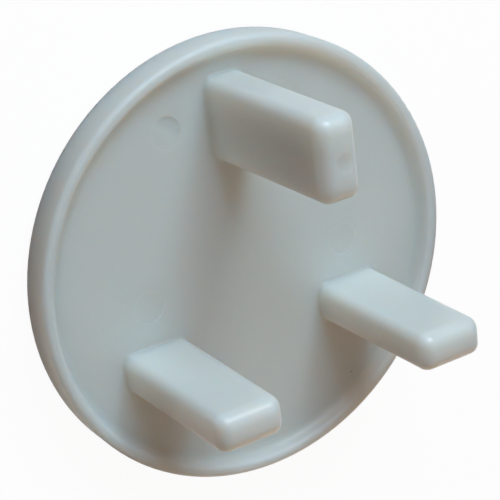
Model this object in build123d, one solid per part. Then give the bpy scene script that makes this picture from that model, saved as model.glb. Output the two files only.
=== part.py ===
from build123d import *
import os
from math import cos, radians, sin, tan

# Socket safety cover for a three-hole outlet, moulded in one piece.
# It lies on its plain front face at z = 0 with the pins standing up, the earth pin towards +Y.
# The origin is the middle of the front face. Lengths are in millimetres, angles in degrees.

os.makedirs("parts", exist_ok=True)

# Hole pattern of the outlet
pin_pitch = 22.23

# Round plate with a raised rim
plate_diameter = 44.5
plate_thickness = 4.45
floor_thickness = 3.2
front_edge_radius = 1.2

# Section of the rim, from the outer wall inwards
rim_width = 1.6
rim_slope_angle = 22
rim_outer_radius = 0.5
rim_inner_radius = 0.5
rim_foot_radius = 1.0

# Earth pin, tall and narrow
earth_width = 4.2
earth_height = 8.15
earth_length = 19.0

# Line and neutral pins, flat and wide
line_width = 6.95
line_height = 3.95
line_length = 17.6

# Moulding details shared by the pins
pin_draft = 0.3
pin_edge_radius = 1.1
pin_root_radius = 0.35
nose_length = 1.5
nose_inset = 1.35
nose_steps = 5

# Round witness marks of the ejector pins on the floor, one of them pressed in by a pin that leans
mark_diameter = 3.2
mark_depth = 0.06
mark_lean_angle = 5.5
mark_lean_direction = 48
mark_beside_earth = 6.65
mark_above_line = 6.0

# Shallow crater where the sprue broke off the end of the earth pin
gate_diameter = 2.0
gate_depth = 0.22
gate_aside = 0.35
gate_below = 0.35

# Places that follow from the hole pattern: the plate is centred on the three pins
earth_y = pin_pitch * 2 / 3
line_y = earth_y - pin_pitch
line_x = pin_pitch / 2
plate_radius = plate_diameter / 2


def dished_plate():
    """Plain front, flat floor behind it and a rounded rim, turned about Z."""
    rim_height = plate_thickness - floor_thickness
    foot_radius = plate_radius - rim_width
    crest_radius = foot_radius + rim_height * tan(radians(rim_slope_angle))
    centre_front = (0, 0)
    front_edge = (plate_radius, 0)
    crest_outer = (plate_radius, plate_thickness)
    crest_inner = (crest_radius, plate_thickness)
    rim_foot = (foot_radius, floor_thickness)
    centre_floor = (0, floor_thickness)
    corners = [centre_front, front_edge, crest_outer, crest_inner, rim_foot, centre_floor]
    softened = {
        front_edge: front_edge_radius,
        crest_outer: rim_outer_radius,
        crest_inner: rim_inner_radius,
        rim_foot: rim_foot_radius,
    }
    section = make_face(Plane.XZ * Polyline(*corners, close=True))
    for (across, up), radius in softened.items():
        corner = section.vertices().sort_by_distance((across, 0, up))[0]
        section = fillet(corner, radius)
    return revolve(section, Axis.Z, 360)


def pin_section(width, height, inset, level):
    """Section of a pin at a height above its root, drawn in on all four sides by the inset.

    Its corner radius keeps the same share of the thin side, so the nose stays soft at the corners."""
    thin_side = min(width, height)
    corner_radius = pin_edge_radius * (thin_side - 2 * inset) / thin_side
    return Pos(0, 0, level) * RectangleRounded(width - 2 * inset, height - 2 * inset, corner_radius)


def pin(width, height, length):
    """One solid pin on its own patch of floor, whose top is z = 0, so that its root fillet is whole.

    The shank has draft, and the nose is rounded in a quarter of an ellipse."""
    shank_length = length - nose_length
    narrowing = shank_length * tan(radians(pin_draft))
    root = pin_section(width, height, 0, 0)
    shoulder = pin_section(width, height, narrowing, shank_length)
    nose = [shoulder]
    for step in range(nose_steps):
        turn = radians(90 * (step + 1) / nose_steps)
        inset = narrowing + nose_inset * (1 - cos(turn))
        nose.append(pin_section(width, height, inset, shank_length + nose_length * sin(turn)))
    patch = extrude(pin_section(width, height, -2 * pin_root_radius, -floor_thickness), floor_thickness)
    rough = patch + loft([root, shoulder], ruled=True) + loft(nose)
    patch_top = rough.faces().filter_by_position(Axis.Z, 0, 0)[0]
    return fillet(patch_top.inner_wires()[0].edges(), pin_root_radius)


def dent(diameter, depth):
    """Thin slice of a large ball that leaves a round hollow of this diameter and depth in a face at z = 0."""
    ball_radius = ((diameter / 2) ** 2 + depth**2) / (2 * depth)
    ball = Pos(0, 0, ball_radius - depth) * Sphere(ball_radius)
    return ball & Cylinder(diameter, 2 * depth)


# Plate and pins in one shot
pin_places = {
    (0, earth_y): pin(earth_width, earth_height, earth_length),
    (-line_x, line_y): pin(line_width, line_height, line_length),
    (line_x, line_y): pin(line_width, line_height, line_length),
}
cover = dished_plate()
for (x, y), one_pin in pin_places.items():
    cover += Pos(x, y, floor_thickness) * one_pin

# Witness marks, shallow and flat: one to the right of the earth pin and one above each lower pin
ejector_end = Cylinder(mark_diameter / 2, floor_thickness, align=(Align.CENTER, Align.CENTER, Align.MIN))
flat_mark_places = [
    (mark_beside_earth, earth_y),
    (-line_x, line_y + mark_above_line),
    (line_x, line_y + mark_above_line),
]
for x, y in flat_mark_places:
    cover -= Pos(x, y, floor_thickness - mark_depth) * ejector_end

# Mark to the left of the earth pin: the leaning ejector has bitten in with one half of its end only
lean = Rot(0, 0, mark_lean_direction) * Rot(0, mark_lean_angle, 0)
cover -= Pos(-mark_beside_earth, earth_y, floor_thickness) * lean * ejector_end

# Crater of the gate in the end of the earth pin
earth_end = floor_thickness + earth_length
cover -= Pos(gate_aside, earth_y - gate_below, earth_end) * dent(gate_diameter, gate_depth)

cover.label = "socket_cover"
export_step(cover, "parts/socket_cover.step")
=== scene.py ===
from math import cos, radians, sin

import bpy
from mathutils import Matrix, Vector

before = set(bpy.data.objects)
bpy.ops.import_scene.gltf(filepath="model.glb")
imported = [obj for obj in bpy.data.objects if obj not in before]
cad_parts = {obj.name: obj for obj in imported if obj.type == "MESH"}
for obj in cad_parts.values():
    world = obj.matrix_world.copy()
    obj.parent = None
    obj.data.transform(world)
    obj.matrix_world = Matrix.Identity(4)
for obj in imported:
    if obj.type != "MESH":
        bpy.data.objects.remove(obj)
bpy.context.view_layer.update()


# Socket cover: the whole object is this one shot of white polypropylene, a dished plate with its rim and
# three solid pins. The steel of the mould leaves a satin skin with a faint orange peel, and light sinks
# millimetres deep into the milky plastic before it comes back.
MM = 0.001
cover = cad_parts["socket_cover"]

plastic_white = (0.625, 0.68, 0.67, 1)
plastic_milky = (0.60, 0.66, 0.65, 1)
cloud_size = 9 * MM
smooth_cloud, rough_cloud = 0.27, 0.39
refraction = 1.49
scatter_depth = 9 * MM
scatter_by_colour = (1.0, 0.65, 0.5)

skin = bpy.data.materials.new("moulded_white_polypropylene")
skin.use_nodes = True
nodes, links = skin.node_tree.nodes, skin.node_tree.links
nodes.clear()
on_cover = nodes.new("ShaderNodeTexCoord").outputs["Object"]


def feed(socket, value):
    """Link an input to an output, or set it to a plain value."""
    if isinstance(value, bpy.types.NodeSocket):
        links.new(value, socket)
    else:
        socket.default_value = value


def calculate(operation, *values):
    """Result of a Math node on outputs or numbers."""
    node = nodes.new("ShaderNodeMath")
    node.operation = operation
    for socket, value in zip(node.inputs, values):
        feed(socket, value)
    return node.outputs[0]


def blend(mask, under, over):
    """A colour laid over another where the mask is one."""
    node = nodes.new("ShaderNodeMix")
    node.data_type = "RGBA"
    for name, value in (("Factor", mask), ("A", under), ("B", over)):
        feed(node.inputs[name], value)
    return node.outputs["Result"]


def fade(value, start, end):
    """One at the start of a range of the value, falling smoothly to nothing at its end."""
    node = nodes.new("ShaderNodeMapRange")
    node.interpolation_type = "SMOOTHSTEP"
    settings = {"Value": value, "From Min": start, "From Max": end, "To Min": 1, "To Max": 0}
    for name, setting in settings.items():
        feed(node.inputs[name], setting)
    return node.outputs["Result"]


def noise(size, detail):
    """Soft noise fixed to the cover, with blots of about this size."""
    node = nodes.new("ShaderNodeTexNoise")
    for name, setting in {"Vector": on_cover, "Scale": 1 / size, "Detail": detail}.items():
        feed(node.inputs[name], setting)
    return node.outputs["Fac"]


clouds = noise(cloud_size, detail=3)
clouded = blend(clouds, plastic_milky, plastic_white)

# The ejectors' edges are painted as pale rings on the floor, alike on the left and on the right: a painted
# highlight where the edges of the marks catch the light. In the askew mark to the left of the earth pin, the
# half that is bitten in is painted a little darker: painted shade on its tilted floor.
painted_highlight_pale = (0.66, 0.715, 0.705, 1)
painted_shade_grey = (0.56, 0.615, 0.61, 1)
ejector_radius = 1.6 * MM
earth_mark = (6.65 * MM, 14.82 * MM)
lower_mark = (11.115 * MM, -1.41 * MM)
ring_core, ring_reach = 0.02 * MM, 0.2 * MM
ring_strength = 0.45
lean_turn = radians(48)
bite_full, bite_none = -0.9 * MM, 0.1 * MM
bite_edge = 0.15 * MM
inside_plate = 2.5 * MM

point = nodes.new("ShaderNodeSeparateXYZ")
links.new(on_cover, point.inputs["Vector"])
x, y, z = point.outputs
aside = calculate("ABSOLUTE", x)


def distance(across, up, centre):
    """Distance in the plate's plane between a point of the surface and a centre."""
    off_across = calculate("SUBTRACT", across, centre[0])
    off_up = calculate("SUBTRACT", up, centre[1])
    squares = calculate("ADD", calculate("POWER", off_across, 2), calculate("POWER", off_up, 2))
    return calculate("SQRT", squares)


pin_side = calculate("GREATER_THAN", z, inside_plate)
from_earth_mark = distance(aside, y, earth_mark)
from_lower_mark = distance(aside, y, lower_mark)
earth_ring, lower_ring = (
    fade(calculate("ABSOLUTE", calculate("SUBTRACT", from_mark, ejector_radius)), ring_core, ring_reach)
    for from_mark in (from_earth_mark, from_lower_mark)
)
rings = calculate("MULTIPLY", calculate("MAXIMUM", earth_ring, lower_ring), pin_side)
# Painted highlight: the rings are lightened where the edges of the marks catch the light.
painted_highlight_rings = calculate("MULTIPLY", rings, ring_strength)

lean_x, lean_y = cos(lean_turn), sin(lean_turn)
along = calculate("ADD", calculate("MULTIPLY", x, lean_x), calculate("MULTIPLY", y, lean_y))
mark_along = -earth_mark[0] * lean_x + earth_mark[1] * lean_y
bitten = fade(calculate("SUBTRACT", mark_along, along), bite_full, bite_none)
inside = fade(from_earth_mark, ejector_radius - bite_edge, ejector_radius)
left_half = calculate("MULTIPLY", calculate("LESS_THAN", x, 0), pin_side)
# Painted shade: the bitten half of the askew mark is darkened as its tilted floor would be in shade.
painted_shade_crescent = calculate("MULTIPLY", calculate("MULTIPLY", bitten, inside), left_half)

# One speck of dust is moulded into the floor near the right pin.
dust_brown = (0.47, 0.45, 0.41, 1)
speck_place = (10.5 * MM, -16.1 * MM)
speck_core, speck_reach = 0.06 * MM, 0.2 * MM
speck = calculate("MULTIPLY", fade(distance(x, y, speck_place), speck_core, speck_reach), pin_side)

# Handling has dulled the rim a little, while the pins keep a thin gloss from the polished depth of the
# mould.
dulled_by = 0.12
dull_radius, fresh_radius = 21 * MM, 19.5 * MM
pin_gloss = 0.1
gloss_roughness = 0.12
glossy_above, plain_below = 7 * MM, 4.5 * MM

satin = nodes.new("ShaderNodeMapRange")
for name, setting in {"Value": clouds, "To Min": smooth_cloud, "To Max": rough_cloud}.items():
    feed(satin.inputs[name], setting)
dulled = calculate("MULTIPLY", fade(distance(x, y, (0, 0)), dull_radius, fresh_radius), dulled_by)
roughness = calculate("ADD", satin.outputs["Result"], dulled)
gloss = calculate("MULTIPLY", fade(z, glossy_above, plain_below), pin_gloss)

# Orange peel of the moulded skin, and on it the fine grain of the steel
peel_size, peel_height, peel_strength = 1.6 * MM, 0.02 * MM, 0.25
grain_size, grain_height, grain_strength = 0.22 * MM, 0.01 * MM, 0.2

peel = nodes.new("ShaderNodeBump")
for name, setting in {"Strength": peel_strength, "Distance": peel_height}.items():
    feed(peel.inputs[name], setting)
links.new(noise(peel_size, detail=2), peel.inputs["Height"])
grain = nodes.new("ShaderNodeBump")
for name, setting in {"Strength": grain_strength, "Distance": grain_height}.items():
    feed(grain.inputs[name], setting)
links.new(noise(grain_size, detail=2), grain.inputs["Height"])
links.new(peel.outputs["Normal"], grain.inputs["Normal"])

# Painted highlight rings and painted shade in the askew mark, laid over the clouded white.
marked = blend(painted_highlight_rings, blend(painted_shade_crescent, clouded, painted_shade_grey), painted_highlight_pale)
finish = {
    "Base Color": blend(speck, marked, dust_brown),
    "Roughness": roughness,
    "Normal": grain.outputs["Normal"],
    "IOR": refraction,
    "Subsurface Weight": 1.0,
    "Subsurface Radius": scatter_by_colour,
    "Subsurface Scale": scatter_depth,
    "Coat Weight": gloss,
    "Coat Roughness": gloss_roughness,
    "Coat IOR": refraction,
}
plastic = nodes.new("ShaderNodeBsdfPrincipled")
for name, setting in finish.items():
    feed(plastic.inputs[name], setting)
surface = nodes.new("ShaderNodeOutputMaterial")
links.new(plastic.outputs["BSDF"], surface.inputs["Surface"])

cover.data.materials.clear()
cover.data.materials.append(skin)


# Floor: a smooth table top that the cover lies on. The camera and reflections see it white, with a trace of
# the cover's shadow, and only a dim warm bounce comes up from it to the cover.
table_half = 1500 * MM
warm_bounce = (0.03, 0.026, 0.022, 1)
white_seen = (1, 1, 1, 1)
shadow_kept = 0.05

table = bpy.data.meshes.new("table_top")
corners = [(across * table_half, up * table_half, 0) for across, up in ((-1, -1), (1, -1), (1, 1), (-1, 1))]
table.from_pydata(corners, [], [(0, 1, 2, 3)])
floor = bpy.data.objects.new("table_top", table)
bpy.context.scene.collection.objects.link(floor)

lacquer = bpy.data.materials.new("pale_table_top")
lacquer.use_nodes = True
nodes, links = lacquer.node_tree.nodes, lacquer.node_tree.links
nodes.clear()
ray = nodes.new("ShaderNodeLightPath").outputs
mirrored = calculate("MAXIMUM", ray["Is Glossy Ray"], ray["Is Transmission Ray"])
seen = calculate("MAXIMUM", ray["Is Camera Ray"], mirrored)
lit = nodes.new("ShaderNodeBsdfDiffuse")
links.new(blend(seen, warm_bounce, white_seen), lit.inputs["Color"])
glow = nodes.new("ShaderNodeEmission")
feed(glow.inputs["Color"], white_seen)
feed(glow.inputs["Strength"], 1)
white_share = calculate("MULTIPLY", seen, 1 - shadow_kept)
mixed = nodes.new("ShaderNodeMixShader")
for socket, value in zip(mixed.inputs, (white_share, lit.outputs["BSDF"], glow.outputs["Emission"])):
    feed(socket, value)
surface = nodes.new("ShaderNodeOutputMaterial")
links.new(mixed.outputs["Shader"], surface.inputs["Surface"])
table.materials.append(lacquer)


# Light: one broad cool window beyond the earth pin with a brighter pane beside it, a weak warm fill from the
# near side, and a dim warm room all round.
cover_middle = (0, 0, 8 * MM)


def soft_lamp(name, place, sides, power, colour):
    """A rectangular lamp that faces the middle of the cover, its place and sides in millimetres."""
    lamp = bpy.data.lights.new(name, "AREA")
    lamp.shape = "RECTANGLE"
    lamp.size, lamp.size_y = (side * MM for side in sides)
    lamp.energy = power
    lamp.color = colour
    holder = bpy.data.objects.new(name, lamp)
    holder.location = [length * MM for length in place]
    holder.rotation_euler = (Vector(cover_middle) - holder.location).to_track_quat("-Z", "Y").to_euler()
    bpy.context.scene.collection.objects.link(holder)


soft_lamp("window", place=(33, 376, 253), sides=(300, 250), power=1.69, colour=(0.697, 0.856, 1.0))
soft_lamp("bright_pane", place=(112, 389, 205), sides=(100, 100), power=0.36, colour=(0.9, 1.0, 0.92))
soft_lamp("near_fill", place=(114, -425, 102), sides=(500, 190), power=0.36, colour=(1.0, 0.67, 0.38))

room = bpy.data.worlds.new("room")
room.use_nodes = True
room_light = room.node_tree.nodes["Background"]
room_light.inputs["Color"].default_value = (1.0, 0.806, 0.683, 1)
room_light.inputs["Strength"].default_value = 0.243
bpy.context.scene.world = room


# Camera: looks down on the pins from the earth pin's side, rolled as the photograph is, with a long lens.
# The small shift is the photograph's own framing.
lens = bpy.data.cameras.new("camera")
lens.sensor_width = 36
lens.lens = 129.6
lens.shift_y = 0.11
lens.clip_start = 10 * MM
camera = bpy.data.objects.new("camera", lens)
camera.location = (-77.66 * MM, 67.53 * MM, 144.09 * MM)
camera.rotation_euler = (radians(-20.161), radians(-31.621), radians(-8.075))
bpy.context.scene.collection.objects.link(camera)
bpy.context.scene.camera = camera
bpy.context.scene.view_settings.view_transform = "Standard"
